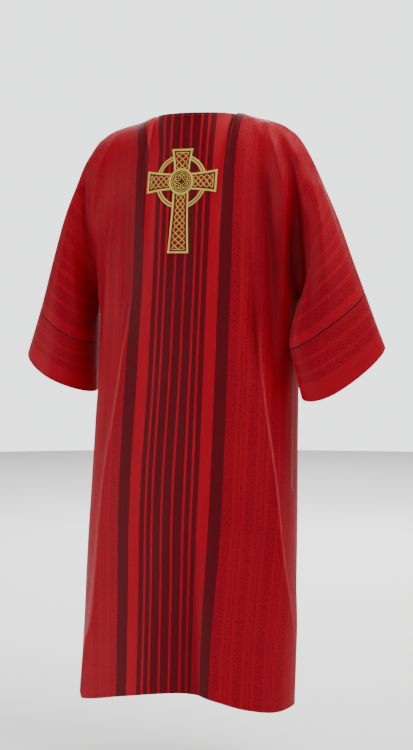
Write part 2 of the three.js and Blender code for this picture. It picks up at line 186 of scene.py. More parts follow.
FLOOR_RADIUS, FLOOR_SIDES = 7, 96
floor_rim = []
for corner in range(FLOOR_SIDES):
    turn = math.tau * corner / FLOOR_SIDES
    floor_rim.append((FLOOR_RADIUS * math.cos(turn), FLOOR_RADIUS * math.sin(turn), FLOOR_Z))
floor = thing_of("floor", mesh_of("floor", floor_rim, [range(FLOOR_SIDES)]))
plaster = Finish("pale_floor")
plaster_tint = plaster.blend(plaster.noise(None, 1.3, 4.0), linear(236, 236, 234), linear(244, 244, 243))
plaster.join(plaster_tint, "Base Color")
plaster.set(Roughness=0.8)
floor.data.materials.append(plaster.material)

# ---------- The cloth of the back, the front and the sleeves ----------
# The back and the front are each cut in one piece with their upper sleeves, and joined over the shoulders,
# down the sides to the slits and under the arms. A deep band ends each sleeve. Tables are in millimetres,
# as a pattern cutter would keep them, and a share is 0 at the centre line and 1 at the side.

BACK, FRONT = 1, -1
NECK_SHARE = 1 / 3
UNDERARM, HEM_LEVEL, SLIT_TOP = -400.0, -1280.0, -820.0
SLIT_SHARE = {BACK: 0.02, FRONT: 0.13}  # how much of its width each panel draws back at the slits
SEAM_TO_CENTRE = 610.0  # along the cloth, from the centre line to where a sleeve's band is sewn on
BAND_DEPTH = 125.0
SLEEVE_FLAT = 330.0  # half of what the sleeve measures round

# round the body: level, half width, where the back, the side and the front lie, and how square the ring is
RINGS = np.array([
    (-400, 242, 131, 12, -122, 2.35),
    (-450, 234, 137, 20, -121, 2.35),
    (-520, 234, 144, 28, -121, 2.35),
    (-650, 235, 158, 36, -116, 2.3),
    (-800, 238, 175, 50, -104, 2.3),
    (-950, 242, 192, 64, -90, 2.3),
    (-1120, 245, 207, 75, -74, 2.3),
    (-1300, 247, 218, 82, -60, 2.3),
], float)

# the neck edge: half its width, how far it reaches back and forward, how far it drops in front, and how soon
NECK_HALF, NECK_BACK, NECK_FRONT, NECK_DROP, NECK_CURVE = 100, 78, -85, -75, 1.5
# the shoulder line, from the neck (0) to the armhole (1), and where each part of it lies
SHOULDER = np.array([
    (0, NECK_HALF, 0, 0), (0.32, 140, 12, -10), (0.6, 176, 21, -19),
    (0.82, 207, 28, -31), (1, 234, 32, -49),
], float)

# share, and the way in which the cloth leaves the neck and the shoulders there
FALL = {
    BACK: np.array([
        (0, 0, 45, -400), (0.17, 0, 152, -310), (0.25, 0, 200, -110),
        (0.33, 0, 316, 100), (0.6, 5, 265, -60), (1, 14, 215, -250),
    ], float),
    FRONT: np.array([
        (0, 0, -75, -330), (0.18, 0, -110, -300), (0.33, 0, -250, -140),
        (0.6, 5, -250, -190), (1, 10, -170, -280),
    ], float),
}

# share, here -1 at the wearer's right side and 1 at the left, and how low the hem hangs there
HEM = {
    BACK: np.array([
        (-1, -1286), (-0.8, -1293), (-0.6, -1284), (-0.38, -1267), (-0.15, -1255),
        (0.08, -1261), (0.35, -1276), (0.75, -1301), (1, -1296),
    ], float),
    FRONT: np.array([(-1, -1226), (0, -1240), (1, -1236)], float),
}

# side, then for the seam and the cuff: over the arm, under it, half the depth, and how far the back drops
SLEEVES = {
    "right": (-1, ((385, 18, -402), (238, 70, -506), 66, 30), ((430, 10, -519), (260, 56, -612), 76, 46)),
    "left": (1, ((379, 20, -415), (250, 22, -505), 84, 14), ((427, 12, -527), (256, 14, -621), 86, 12)),
}
# turn round the arm, the way in which the sleeve leaves the armhole there, and how firmly
SLEEVE_LEAVES = np.array([
    (0, 0.74, 0, -0.67, 0.55), (0.3, 0.9, -0.12, -0.42, 0.6),
    (0.65, 0.8, -0.1, -0.59, 0.8), (1, 0.3, 0, -0.95, 0.9),
], float)


def hermite(start, leaving, end, arriving, t):
    """The smooth way from start to end, given how it leaves and how it arrives."""
    t2, t3 = t * t, t * t * t
    point = start * (2 * t3 - 3 * t2 + 1) + leaving * (t3 - 2 * t2 + t)
    point = point + end * (3 * t2 - 2 * t3)
    return point + arriving * (t3 - t2)


def along(table, column, at):
    """The value of a column where the first column is at, on a smooth curve through the rows."""
    rows = table if table[0, 0] < table[-1, 0] else table[::-1]
    x, y = rows[:, 0], rows[:, column]
    slope = np.empty_like(y)
    slope[1:-1] = (y[2:] - y[:-2]) / (x[2:] - x[:-2])
    slope[0] = (y[1] - y[0]) / (x[1] - x[0])
    slope[-1] = (y[-1] - y[-2]) / (x[-1] - x[-2])
    at = np.clip(np.asarray(at, float), x[0], x[-1])
    i = np.clip(np.searchsorted(x, at, side="right") - 1, 0, len(x) - 2)
    span = x[i + 1] - x[i]
    return hermite(y[i], slope[i] * span, y[i + 1], slope[i + 1] * span, (at - x[i]) / span)


def points_along(table, share):
    return np.stack([along(table, column, share) for column in (1, 2, 3)], axis=-1)


def smooth(value):
    value = np.clip(value, 0, 1)
    return value * value * (3 - 2 * value)


def unit(vectors):
    return vectors / np.linalg.norm(vectors, axis=1)[:, None]


RING_STEPS = 48


def ring(share, level, face):
    """Points of the body's ring at a level, by their share of the cloth from the centre to the side."""
    share, level = np.broadcast_arrays(np.asarray(share, float), np.asarray(level, float))
    half, back, side, front, square = (along(RINGS, c, level)[..., None] for c in (1, 2, 3, 4, 5))
    angle = np.linspace(0, math.pi / 2, RING_STEPS + 1)
    x = half * np.sin(angle) ** (2 / square)
    y = side + ((back if face == BACK else front) - side) * np.abs(np.cos(angle)) ** (2 / square)
    length = np.concatenate(
        [np.zeros(share.shape + (1,)), np.cumsum(np.hypot(np.diff(x), np.diff(y)), axis=-1)], axis=-1
    )
    wanted = np.abs(share)[..., None] * length[..., -1:]
    i = np.clip(np.sum(length < wanted, axis=-1, keepdims=True), 1, RING_STEPS)

    def pick(values, at):
        return np.take_along_axis(values, at, axis=-1)[..., 0]

    t = (wanted[..., 0] - pick(length, i - 1)) / (pick(length, i) - pick(length, i - 1))
    return np.stack([
        np.sign(share) * (pick(x, i - 1) + (pick(x, i) - pick(x, i - 1)) * t),
        pick(y, i - 1) + (pick(y, i) - pick(y, i - 1)) * t,
        level,
    ], axis=-1)


def top_edge(share, face):
    """The neck edge, then the shoulder line out to the armhole."""
    out, side = np.abs(share), np.sign(share)
    shoulder = points_along(SHOULDER, (out - NECK_SHARE) / (1 - NECK_SHARE))
    shoulder[:, 0] *= side
    angle = np.clip(out / NECK_SHARE, 0, 1) * math.pi / 2
    fore = np.clip(np.cos(angle), 0, 1)
    neck = np.stack([
        side * NECK_HALF * np.sin(angle),
        (NECK_BACK if face == BACK else NECK_FRONT) * fore,
        np.zeros_like(fore) if face == BACK else NECK_DROP * fore**NECK_CURVE,
    ], axis=-1)
    return np.where((out > NECK_SHARE)[:, None], shoulder, neck)


RING_BELOW = 30  # how far under the arms the yoke looks to meet the skirt smoothly
TUCK, TUCK_FROM, TUCK_SPAN = 200, 0.7, 0.3  # the sides curl in under the arms


def yoke(share, down, face):
    """Points of a panel from its neck and shoulders down to the level of the underarms."""
    top = top_edge(share, face)
    bottom = ring(share, UNDERARM, face)
    leaving = points_along(FALL[face], np.abs(share))
    leaving[:, 0] *= np.sign(share)
    arriving = ring(share, UNDERARM - RING_BELOW, face) - bottom
    arriving *= ((top[:, 2] - UNDERARM) / RING_BELOW)[:, None]
    arriving[:, 0] = 0
    arriving[:, 1] -= face * TUCK * np.clip((np.abs(share) - TUCK_FROM) / TUCK_SPAN, 0, 1) ** 2
    return hermite(top[None], leaving[None], bottom[None], arriving[None], down[:, None, None])


SLIT_CURVE = 1.3


def skirt(share, down, face):
    """Points of a panel from the underarms to the hem, drawn back along the slits."""
    level = (UNDERARM + (HEM_LEVEL - UNDERARM) * down)[:, None] + 0 * share[None]
    opened = np.clip((SLIT_TOP - level) / (SLIT_TOP - HEM_LEVEL), 0, None)
    points = ring(share[None] * (1 - SLIT_SHARE[face] * opened**SLIT_CURVE), level, face)
    points[..., 2] = level + (along(HEM[face], 1, share)[None] - HEM_LEVEL) * opened
    return points


# 2 is an ellipse; below it the loop comes to a corner over and under the arm
SEAM_SQUARE, CUFF_SQUARE = 2.15, 1.75


def loop(shape, turn, face, side, square):
    """Round a sleeve, from over the arm (turn 0), by the back or the front, to under it (turn 1)."""
    over, under, depth, drop = shape
    over, under = (np.array((side * p[0], p[1], p[2]), float) for p in (over, under))

    def rounded(value):
        return (np.sign(value) * np.abs(value) ** (2 / square))[:, None]

    angle = turn * math.pi
    deep = np.array((0, depth, -drop), float) * face
    return (over + under) / 2 + rounded(np.cos(angle)) * (over - under) / 2 + rounded(np.sin(angle)) * deep


def sleeve(name, turn, out, face):
    """Points of half a sleeve, from the armhole out to the seam of its band."""
    side, seam, cuff = SLEEVES[name]
    start = yoke(np.array([float(side)]), turn, face)[:, 0]
    end = loop(seam, turn, face, side, SEAM_SQUARE)
    run = np.linalg.norm(end - start, axis=1)[:, None]
    leaving = points_along(SLEEVE_LEAVES, turn) * np.array((side, face, 1))
    leaving *= run * along(SLEEVE_LEAVES, 4, turn)[:, None] / np.linalg.norm(leaving, axis=1)[:, None]
    arriving = loop(cuff, turn, face, side, CUFF_SQUARE) - end
    arriving *= run / np.linalg.norm(arriving, axis=1)[:, None]
    return hermite(start[:, None], leaving[:, None], end[:, None], arriving[:, None], out[None, :, None])


HALF_COLUMNS, YOKE_ROWS, SKIRT_ROWS, SLEEVE_COLUMNS, BAND_COLUMNS = 81, 68, 128, 64, 24

# Each fold of the cloth: which panel, how softly it dies away towards the centre and outwards, how round
# its top is, and its path of points (across, up) with its height. A trough is a fold of negative height.
FOLDS = [
    # the breaks over the shoulder blades towards the arms
    (BACK, 18, 7, 3, ((184, -30, 1), (200, -70, 5), (222, -120, 7), (236, -190, 6), (240, -300, 4),
                      (241, -390, 1))),
    (BACK, 22, 9, 4, ((-150, -14, 0), (-169, -28, 5), (-197, -85, 11), (-216, -146, 14),
                      (-223, -195, 14), (-223, -300, 8), (-228, -390, 3))),
    # the dark hollows where the sleeves leave the body
    (BACK, 12, 16, 5, ((256, -96, 0), (260, -160, -13), (258, -240, -12), (256, -350, -4))),
    (BACK, 10, 16, 5, ((-232, -80, 0), (-241, -130, -15), (-244, -190, -22), (-243, -250, -23),
                       (-240, -330, -17), (-240, -390, -8))),
    # sharp ridges down the back of the right sleeve
    (BACK, 9, 15, 2, ((-204, -44, 2), (-225, -74, 10), (-245, -110, 15), (-256, -160, 12),
                      (-264, -240, 0))),
    (BACK, 16, 12, 1.5, ((-272, -130, 0), (-290, -180, 7), (-306, -250, 9), (-319, -348, 8),
                         (-327, -433, 2))),
    (BACK, 16, 18, 8, ((-290, -260, 0), (-288, -380, -8), (-288, -470, -8))),
    # softer ridges down the left sleeve
    (BACK, 16, 18, 6, ((250, -70, 1), (276, -140, 6), (296, -240, 6), (312, -350, 4), (322, -430, 0))),
    (BACK, 18, 18, 8, ((290, -330, 0), (286, -400, -4), (292, -470, -4))),
    # the short pull at the right of the neck
    (BACK, 9, 6, 2.5, ((-118, -8, 0), (-139, -19, 2.6), (-160, -48, 3.2), (-182, -82, 0))),
    # the break down the wearer's left, and the one inside it that begins below the shoulder blade
    (BACK, 12, 12, 2, ((177, -180, 0), (178, -240, 5), (184, -294, 8), (190, -411, 9), (205, -537, 6),
                       (214, -614, 1))),
    (BACK, 34, 16, 1, ((117, -380, 0), (122, -450, 6), (130, -550, 12), (143, -665, 14), (160, -760, 14),
                       (171, -896, 14), (178, -1044, 15), (188, -1130, 15), (206, -1187, 14),
                       (216, -1290, 14))),
    # the break down the wearer's right
    (BACK, 30, 16, 1, ((-178, -445, 0), (-183, -531, 4), (-196, -651, 9), (-205, -725, 12),
                       (-215, -799, 12), (-222, -879, 12), (-230, -960, 12), (-240, -1060, 12),
                       (-249, -1180, 11), (-254, -1290, 10))),
    # soft troughs below the arms, beside the shoulder blades and at the hem
    (BACK, 20, 14, 7, ((-172, -80, 0), (-188, -180, -17), (-202, -340, -20), (-208, -480, -14),
                       (-214, -640, 0))),
    (BACK, 10, 8, 3, ((-146, -230, 0), (-156, -360, -6), (-166, -480, -11), (-180, -600, -4),
                      (-190, -680, 0))),
    (BACK, 12, 12, 4, ((-128, -180, 0), (-138, -340, 4), (-146, -480, 5), (-160, -620, 0))),
    (BACK, 16, 16, 8, ((146, -130, 0), (143, -220, -7), (134, -411, -7), (150, -560, 0))),
    (BACK, 14, 14, 7, ((208, -240, 0), (208, -400, -8), (214, -560, -7), (222, -680, 0))),
    (BACK, 34, 16, 8, ((-62, -880, 0), (-66, -1000, -6), (-70, -1150, -12), (-74, -1300, -18))),
    (BACK, 40, 40, 16, ((-150, -900, 0), (-156, -1100, 4), (-160, -1290, 7))),
    (BACK, 40, 40, 16, ((40, -980, 0), (44, -1290, 4))),
    # two short ridges down the back of the left sleeve
    (BACK, 6, 9, 1.5, ((266, -150, 0), (266, -210, 6), (262, -278, 8), (254, -330, 7), (246, -375, 0))),
    (BACK, 8, 10, 2.5, ((292, -180, 0), (288, -278, 5), (279, -360, 5), (270, -430, 2), (264, -480, 0))),
    # the front hangs from the chest in softer folds
    (FRONT, 30, 22, 3, ((128, -360, 0), (136, -560, 7), (150, -800, 10), (166, -1260, 12))),
    (FRONT, 30, 22, 3, ((-120, -380, 0), (-132, -600, 7), (-146, -860, 10), (-158, -1260, 12))),
    (FRONT, 30, 30, 12, ((58, -520, 0), (62, -800, -7), (70, -1260, -12))),
    (FRONT, 30, 30, 12, ((-44, -560, 0), (-52, -820, -7), (-60, -1260, -11))),
    (FRONT, 18, 10, 3, ((186, -50, 1), (208, -120, 7), (226, -220, 7), (236, -380, 1))),
    (FRONT, 18, 10, 3, ((-186, -50, 1), (-206, -120, 8), (-226, -220, 8), (-236, -380, 1))),
    (FRONT, 10, 15, 5, ((248, -110, 0), (254, -180, -13), (254, -250, -11), (256, -350, -3))),
    (FRONT, 10, 15, 5, ((-248, -110, 0), (-252, -180, -15), (-254, -250, -13), (-256, -350, -3))),
    (FRONT, 12, 10, 3, ((104, -40, 0), (118, -90, 3), (126, -150, 2), (120, -220, 0))),
    (FRONT, 12, 10, 3, ((-102, -50, 0), (-114, -100, 3), (-120, -170, 2), (-112, -240, 0))),
    (FRONT, 16, 16, 6, ((272, -140, 0), (294, -240, 6), (310, -350, 4), (320, -430, 0))),
    (FRONT, 16, 16, 6, ((-270, -140, 0), (-292, -240, 6), (-308, -350, 4), (-320, -430, 0))),
]


WAVE_HIGH, RIPPLE_HIGH = 0.9, 0.5


def fold_lift(points, face):
    """How far the folds lift each point of a panel."""
    x, z = points[:, 0], points[:, 2]
    lift = np.zeros(len(points))
    for panel, inward, outward, top, path in FOLDS:
        if panel != face:
            continue
        near = np.full(len(points), np.inf)
        height = np.zeros(len(points))
        across = np.zeros(len(points))
        for (ax, az, ah), (bx, bz, bh) in zip(path, path[1:]):
            dx, dz = bx - ax, bz - az
            t = np.clip(((x - ax) * dx + (z - az) * dz) / (dx * dx + dz * dz), 0, 1)
            away = np.hypot(x - ax - dx * t, z - az - dz * t)
            closer = away < near
            near = np.where(closer, away, near)
            height = np.where(closer, ah + (bh - ah) * smooth(t), height)
            across = np.where(closer, ax + dx * t, across)
        width = np.where(np.abs(x) < np.abs(across), inward, outward)
        lift += height * np.exp(-(np.hypot(near, top) - top) / width)
    # slight unevenness that hanging leaves in any wide panel
    lift += WAVE_HIGH * np.sin(x / 31 + 0.6 * np.sin(z / 170 + face)) * np.sin(z / 260 + 1.3)
    lift += RIPPLE_HIGH * np.sin(x / 13 + z / 210 + 2 * face) * np.sin(z / 120 + x / 90)
    return lift


def steps(count):
    return np.linspace(0, 1, count + 1)


def gathered(points, axis):
    """Lengths along rows or columns of points, from the first."""
    runs = np.linalg.norm(np.diff(points, axis=axis), axis=2)
    return np.insert(np.cumsum(runs, axis=axis), 0, 0, axis=axis)


# how deep the hems are turned under, and a value for cloth that is nowhere near a hem or a seam
HEM_DEPTH, SLIT_FACING, NECK_FACING, CUFF_HEM = 28, 14, 9, 30
NO_HEM, NO_SEAM = 9.0, 99.0
FOLD_FADE, NECK_FREE = 26, 30  # folds fade this near a seam, but run out to the edge of the neck
WRAP_FROM, WRAP_SPAN = 105, 50
OFF_THREAD, HOLLOW_TAKES, HEM_TAKES = 20, 8, 16
SQUEEZE_SHARE = 0.3  # over this much of its top, a sleeve's cloth is eased to one length along every thread

# each grid: its piece, its panel, its points, how far across and down the flat cloth each lies, how many
# hem depths it is from an edge, how far it is from a joined edge, and whether its faces are turned over
grids = []
flat_maps = {}
for panel_name, panel in (("back", BACK), ("front", FRONT)):
    share = np.linspace(-1, 1, 2 * HALF_COLUMNS + 1)
    share[HALF_COLUMNS] = 0
    down = steps(YOKE_ROWS)
    body = np.concatenate([yoke(share, down, panel), skirt(share, steps(SKIRT_ROWS), panel)[1:]])
    # near the neck the warp hangs straight, so there the way across is counted level
    wrapped = smooth((np.abs(body[:, 1:, 0] + body[:, :-1, 0]) / 2 - WRAP_FROM) / WRAP_SPAN)
    runs = np.diff(body, axis=1)
    runs = np.hypot(runs[..., 0], wrapped * np.hypot(runs[..., 1], runs[..., 2]))
    across = np.insert(np.cumsum(runs, axis=1), 0, 0, axis=1)
    across -= across[:, HALF_COLUMNS : HALF_COLUMNS + 1]
    # the panel was cut a little off the thread, and the hollow at the hem takes up some of its width
    left, level = body[..., 0], body[..., 2]
    across -= OFF_THREAD * smooth((left - 20) / 90) * smooth((level + 95) / 90)
    if panel == BACK:
        across -= HOLLOW_TAKES * smooth((left + 60) / 80) * np.exp(-(((level + 820) / 200) ** 2))
        across -= HEM_TAKES * smooth((-left - 40) / 60) * smooth((-850 - level) / 400)
    fallen = gathered(body, 0)
    to_side = np.minimum(across - across[:, :1], across[:, -1:] - across)
    slit = body[..., 2] < SLIT_TOP
    at_neck = np.abs(share)[None] < NECK_SHARE - 0.004
    hem = (fallen[-1:] - fallen) / HEM_DEPTH
    hem = np.minimum(hem, np.where(slit, to_side / SLIT_FACING, NO_HEM))
    hem = np.minimum(hem, np.where(at_neck, fallen / NECK_FACING, NO_HEM))
    joined = np.where(slit, NO_SEAM, to_side)
    joined[: YOKE_ROWS + 1] = NO_SEAM
    joined = np.minimum(joined, np.where(at_neck, NECK_FREE + fallen, fallen))
    grids.append((panel_name, panel, body, across, fallen, hem, joined, panel == FRONT))
    flat_maps[panel] = (share, body, fallen, across)
    for which, (side, seam, cuff) in SLEEVES.items():
        turn = steps(YOKE_ROWS)
        flipped = (panel == FRONT) != (side < 0)
        to_edge = np.minimum(turn, 1 - turn)[:, None] * SLEEVE_FLAT
        # the upper sleeve, which is of one cut with its panel
        out = steps(SLEEVE_COLUMNS)
        points = sleeve(which, turn, out, panel)
        column = 0 if side < 0 else -1
        length = gathered(points, 1)
        start = np.abs(across[: YOKE_ROWS + 1, column])[:, None]
        true = length[:, -1:]
        squeeze = 1 + ((SEAM_TO_CENTRE - start) / true - 1) * (1 - smooth(turn / SQUEEZE_SHARE))[:, None]
        flat_across = side * (SEAM_TO_CENTRE - (true - length) * squeeze)
        flat_down = fallen[: YOKE_ROWS + 1, column][:, None] * (1 - out) + SLEEVE_FLAT * turn[:, None] * out
        grids.append((panel_name, panel, points, flat_across, flat_down, NO_HEM, to_edge, flipped))
        # the band, straight from its seam to the cuff
        out = steps(BAND_COLUMNS)
        first = loop(seam, turn, panel, side, SEAM_SQUARE)[:, None]
        last = loop(cuff, turn, panel, side, CUFF_SQUARE)[:, None]
        points = first + (last - first) * out[None, :, None]
        flat_across = side * (SEAM_TO_CENTRE + BAND_DEPTH * out)[None]
        flat_down = SLEEVE_FLAT * turn[:, None]
        to_cuff = (BAND_DEPTH * (1 - out) / CUFF_HEM)[None]
        band = f"sleeve_band_{which}"
        grids.append((band, panel, points, flat_across, flat_down, to_cuff, to_edge, flipped))

# every place on the garment once, whichever pieces meet there
stacked = np.concatenate([points.reshape(-1, 3) for _, _, points, *_ in grids])
_, first_seen, place = np.unique(np.round(stacked, 2), axis=0, return_index=True, return_inverse=True)
place = place.ravel()
spots = stacked[first_seen]
on_panel = {panel: np.zeros(len(spots), bool) for panel in (BACK, FRONT)}
hem_share, to_joined = np.full(len(spots), NO_HEM), np.full(len(spots), NO_SEAM)
quads, quad_uv, quad_piece = [], [], []
offset = 0
for name, panel, points, across, fallen, hem, joined, flipped in grids:
    rows, columns = points.shape[:2]
    whole = (rows, columns)
    across, fallen, hem, joined = (np.broadcast_to(v, whole) for v in (across, fallen, hem, joined))
    index = place[offset : offset + rows * columns].reshape(rows, columns)
    offset += rows * columns
    on_panel[panel][index] = True
    np.minimum.at(hem_share, index, hem)
    np.minimum.at(to_joined, index, joined)
    uv = np.stack([across, fallen], axis=-1) / 1000
    around = [np.s_[:-1, :-1], np.s_[:-1, 1:], np.s_[1:, 1:], np.s_[1:, :-1]]
    if flipped:
        around.reverse()
    quads.append(np.stack([index[a] for a in around], axis=-1).reshape(-1, 4))
    quad_uv.append(np.stack([uv[a] for a in around], axis=-2).reshape(-1, 4, 2))
    quad_piece += [name] * len(quads[-1])
quads, quad_uv, quad_piece = np.concatenate(quads), np.concatenate(quad_uv), np.array(quad_piece)


def normals_of(points):
    a, b, c, d = (points[quads[:, i]] for i in range(4))
    facing = np.cross(c - a, d - b)
    total = np.zeros_like(points)
    for i in range(4):
        np.add.at(total, quads[:, i], facing)
    return unit(total)


# where the cloth is eased: along the armholes, and at the ends of the neck edge
EASE_TIMES, EASE_STRENGTH, NECK_EASE = 12, 0.6, 0.7
EASE_AT, EASE_SPREAD, EASE_SEAM = 246, 24, 30
EASE_TOP, EASE_TOP_SPAN, EASE_END, EASE_END_SPAN = -70, 40, -405, 30
facing = normals_of(spots)
lift = np.where(on_panel[BACK], fold_lift(spots, BACK), fold_lift(spots, FRONT))
lift *= smooth(to_joined / FOLD_FADE)
outer = spots + facing * lift[:, None]
# the cloth rounds over softly where a sleeve leaves the body
off_line = (np.abs(spots[:, 0]) - EASE_AT) / EASE_SPREAD
ease = np.exp(-(off_line**2)) * smooth((EASE_TOP - spots[:, 2]) / EASE_TOP_SPAN)
ease *= smooth((spots[:, 2] - EASE_END) / EASE_END_SPAN) * smooth(to_joined / EASE_SEAM)
# and so does the end of the neck edge, at the high point of each shoulder
neck_end = np.hypot(np.abs(spots[:, 0]) - NECK_HALF, np.hypot(spots[:, 1], spots[:, 2])) / EASE_SPREAD
ease = EASE_STRENGTH * np.maximum(ease, NECK_EASE * np.exp(-(neck_end**2)))
for _ in range(EASE_TIMES):
    total, count = np.zeros_like(outer), np.zeros(len(outer))
    for i in range(4):
        np.add.at(total, quads[:, i], outer[quads[:, (i + 1) % 4]] + outer[quads[:, (i + 3) % 4]])
        np.add.at(count, quads[:, i], 2)
    outer += (total / count[:, None] - outer) * ease[:, None]
facing = normals_of(outer)

# a painted shade darkens the deep parts of the folds, and the painted highlight along the sharp creases goes
# on the back only
PAINTED_SHADE_DEPTH = 22
# painted shade: how deep a fold's trough is, from 0 to 1, sets how much the cloth's colour is darkened there
fold_painted_shade = np.clip(-lift / PAINTED_SHADE_DEPTH, 0, 1)
# 1 on the back only: where the painted highlight along the creases is allowed
highlight_on_back = (on_panel[BACK] & ~on_panel[FRONT]).astype(float)

SEAM_GAP, SEAM_SINK = 0.12, 0.6
used_by = np.zeros(len(spots), int)
piece_names = ["back", "front", "sleeve_band_left", "sleeve_band_right"]
for name in piece_names:
    used_by[np.unique(quads[quad_piece == name])] += 1


def sharpen_rim(mesh):
    """Keeps the shading of a sheet's face and of its cut edge apart."""
    uses = np.zeros(len(mesh.edges), int)
    edge_of = np.empty(len(mesh.loops), int)
    mesh.loops.foreach_get("edge_index", edge_of)
    np.add.at(uses, edge_of, 1)
    mesh.attributes.new("sharp_edge", "BOOLEAN", "EDGE").data.foreach_set("value", uses == 1)


def cloth_mesh(name):
    """One cut piece: its own part of the outer surface, drawn in and down a little along its seams."""
    own = quads[quad_piece == name]
    seam = used_by > 1
    inside = ~seam[own]
    middle = np.einsum("qcd,qc->qd", outer[own], inside) / np.maximum(inside.sum(1), 1)[:, None]
    has_inside = inside.any(1)
    total, count = np.zeros_like(outer), np.zeros(len(outer))
    for i in range(4):
        np.add.at(total, own[has_inside, i], middle[has_inside])
        np.add.at(count, own[has_inside, i], 1)
    points = outer.copy()
    moved = seam & (count > 0)
    inward = unit(total[moved] / count[moved][:, None] - outer[moved])
    points[moved] += inward * SEAM_GAP - facing[moved] * SEAM_SINK
    kept, local = np.unique(own, return_inverse=True)
    mesh = mesh_of(name, points[kept] / 1000, local.reshape(-1, 4))
    layer = mesh.uv_layers.new(name="cloth")
    layer.data.foreach_set("uv", quad_uv[quad_piece == name].ravel())
    for label, values in (("hem", hem_share), ("fold_painted_shade", fold_painted_shade), ("highlight_on_back", highlight_on_back)):
        mesh.attributes.new(label, "FLOAT", "POINT").data.foreach_set("value", values[kept])
    mesh.polygons.foreach_set("use_smooth", [True] * len(mesh.polygons))
    sharpen_rim(mesh)
    return mesh


def pressed_crease(fold):
    """Where a sharp fold runs on the flat cloth: (down, across) in metres, from its top."""
    panel, *_, path = fold
    _, body, fallen, across = flat_maps[panel]
    run = []
    for x, z, _ in path:
        away = np.hypot(body[..., 0] - x, body[..., 2] - z)
        i, j = np.unravel_index(np.argmin(away), away.shape)
        near = np.s_[max(i - 1, 0) : i + 2, max(j - 1, 0) : j + 2]
        weight = 1 / (away[near] + 0.5) ** 2
        weight /= np.sum(weight)
        run.append([float(np.sum(values[near] * weight)) / 1000 for values in (fallen, across)])
    return sorted(run)


def node_group(name, inputs, outputs):
    group = bpy.data.node_groups.new(name, "ShaderNodeTree")
    for label, kind, value in inputs:
        socket = group.interface.new_socket(label, in_out="INPUT", socket_type=kind)
        socket.default_value = value
    for label, kind in outputs:
        group.interface.new_socket(label, in_out="OUTPUT", socket_type=kind)
    given = group.nodes.new("NodeGroupInput")
    result = group.nodes.new("NodeGroupOutput")

    def add(kind, values=(), **settings):
        return add_node(group.nodes, group.links, kind, values, **settings)

    def do(operation, *values):
        return add("ShaderNodeMath", values, operation=operation).outputs[0]

    return group, given.outputs, result.inputs, add, do


# Plain weave: ribs along and across the cloth, with threads that swell and thin.
weave, given, result, add, do = node_group(
    "plain_weave",
    [("Cloth", "NodeSocketVector", (0, 0, 0)), ("Thread", "NodeSocketFloat", 0.0007)],
    [("Height", "NodeSocketFloat"), ("Slub", "NodeSocketFloat")],
)
parts = add("ShaderNodeSeparateXYZ", [given["Cloth"]]).outputs
ribs = []
for thread_way in (0, 1):
    turns = do("DIVIDE", parts[thread_way], given["Thread"])
    ribs.append(do("ABSOLUTE", do("SINE", do("MULTIPLY", turns, math.pi))))
slub_way = add("ShaderNodeVectorMath", [given["Cloth"], (1600, 190, 1)], operation="MULTIPLY").outputs[0]
slub = add("ShaderNodeTexNoise", {"Vector": slub_way, "Scale": 1.0, "Detail": 2.0}).outputs["Fac"]
group_link = weave.links.new
group_link(do("ADD", do("MULTIPLY", ribs[0], ribs[1]), do("MULTIPLY", slub, 0.5)), result["Height"])
group_link(slub, result["Slub"])

# from the centre line out, in millimetres: 1 where the cloth is dark
STRIPES = [
    (0, 9, 1), (9, 14, 0), (14, 31.8, 1), (31.8, 37.2, 0), (37.2, 47.2, 1), (47.2, 52.8, 0),
    (52.8, 64, 1), (64, 90, 0), (90, 117, 1),
]
STRIPES_END, STRIPE_RAMP = 117, 120
# beyond the stripes, bands of dark specks, how dense each is, and over what width they come again
SPECKS = [
    (0, 3, 0.55), (3, 21, 0.85), (21, 26, 0.0), (26, 34, 0.7), (34, 37, 0.1), (37, 41, 1.0), (41, 47, 0.1),
]
SPECK_REPEAT = 47.0
# on the lower sleeves they are broader, and follow no repeat
SLEEVE_SPECKS = [
    (440, 458, 0.9), (458, 464, 0.1), (464, 480, 0.9), (480, 490, 0.0), (490, 512, 0.95),
    (512, 520, 0.05), (520, 546, 1.0), (546, 553, 0.1), (553, 585, 1.0), (585, 610, 0.0),
    (610, 640, 1.0), (640, 647, 0.15), (647, 668, 1.0), (668, 675, 0.15), (675, 692, 1.0), (692, 750, 0.0),
]
SLEEVE_FROM, SLEEVE_TO = 440, 750
STRIPE_EDGE = 0.3


def stripe_ramp(finish, position, bands, first_edge, last_edge):
    """A ramp that steps from band to band over twice the width of a stripe's edge."""
    node = finish.add("ShaderNodeValToRGB", [position])
    ramp = node.color_ramp
    stops = []
    for first, last, value in bands:
        for at in (first + STRIPE_EDGE, last - STRIPE_EDGE):
            stops.append(((at - first_edge) / (last_edge - first_edge), value))
    ramp.elements[0].position, ramp.elements[1].position = stops[0][0], stops[-1][0]
    for element, (_, value) in zip(ramp.elements, (stops[0], stops[-1])):
        element.color = (value, value, value, 1)
    for at, value in stops[1:-1]:
        element = ramp.elements.new(at)
        element.color = (value, value, value, 1)
    return node.outputs["Color"]


cloth = Finish("striped_red_cloth")
maths = cloth.maths
cloth_map = cloth.add("ShaderNodeUVMap", uv_map="cloth").outputs["UV"]
cloth_parts = cloth.add("ShaderNodeSeparateXYZ", [cloth_map]).outputs

